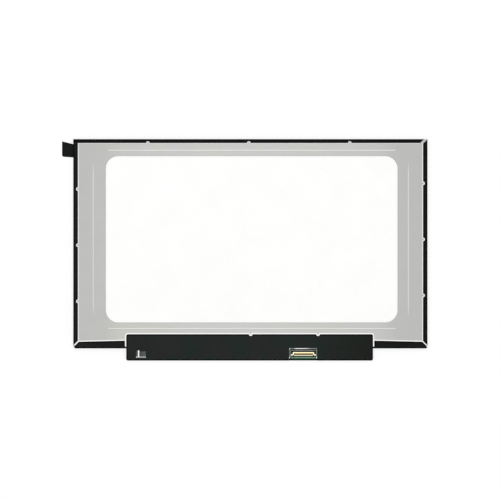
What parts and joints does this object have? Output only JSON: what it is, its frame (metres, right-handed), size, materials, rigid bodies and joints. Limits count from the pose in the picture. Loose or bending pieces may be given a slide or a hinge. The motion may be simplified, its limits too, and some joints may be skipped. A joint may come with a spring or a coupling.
{
  "type": "laptop screen panel",
  "caption": "Slim rectangular laptop display module, rear side up: metal back plate with a rounded window, black edge tapes, and a covered driver board with a plug receptacle.",
  "frame": {"origin": "on the front face, at the centre of the module's outline without its driver board", "axes": "+X to the right and +Y to the top edge as seen from behind, +Z from the front to the rear"},
  "size_m": [0.326, 0.1975, 0.0027],
  "materials": {
    "clear_film": "clear soft film",
    "black_tape": "matt black film tape",
    "polariser": "dark neutral film",
    "cell_glass": "thin polished glass",
    "chip_silicon": "bare silicon",
    "amber_flex": "amber flex circuit",
    "optical_sheet": "satin optical sheet",
    "guide_acrylic": "clear moulded sheet",
    "reflector_white": "matt white foamed film",
    "led_package": "white package with a yellow face",
    "frame_black": "fine moulded black",
    "plate_metal": "satin plated sheet",
    "board_green": "green solder mask",
    "cover_black": "satin black sheet",
    "package_black": "moulded chip package",
    "ferrite": "dark ferrite",
    "ceramic_tan": "fired ceramic with tinned ends",
    "resistor_black": "glazed film with tinned ends",
    "housing_black": "moulded connector plastic",
    "gold_plate": "thin gold plating"
  },
  "bodies": {
    "root": {"protective_film": "clear_film", "pull_tab": "black_tape", "front_polariser": "polariser", "colour_filter_glass": "cell_glass", "array_glass": "cell_glass", "rear_polariser": "polariser", "driver_chips": "chip_silicon", "flex_links": "amber_flex", "ledge_cover": "black_tape", "rim_tape": "black_tape", "upper_prism_sheet": "optical_sheet", "lower_prism_sheet": "optical_sheet", "diffuser_sheet": "optical_sheet", "light_guide_plate": "guide_acrylic", "reflector_sheet": "reflector_white", "leds": "led_package", "led_flex": "amber_flex", "led_tape": "black_tape", "mould_frame": "frame_black", "back_plate": "plate_metal", "tape_top": "black_tape", "tape_left": "black_tape", "tape_right": "black_tape", "tape_bottom_left": "black_tape", "tape_bottom_right": "black_tape", "driver_board": "board_green", "board_cover": "cover_black", "timing_controller": "package_black", "support_chips": "package_black", "inductors": "ferrite", "capacitors": "ceramic_tan", "resistors": "resistor_black", "connector_housing": "housing_black", "connector_shell": "gold_plate", "connector_contacts": "gold_plate"}
  },
  "joints": []
}
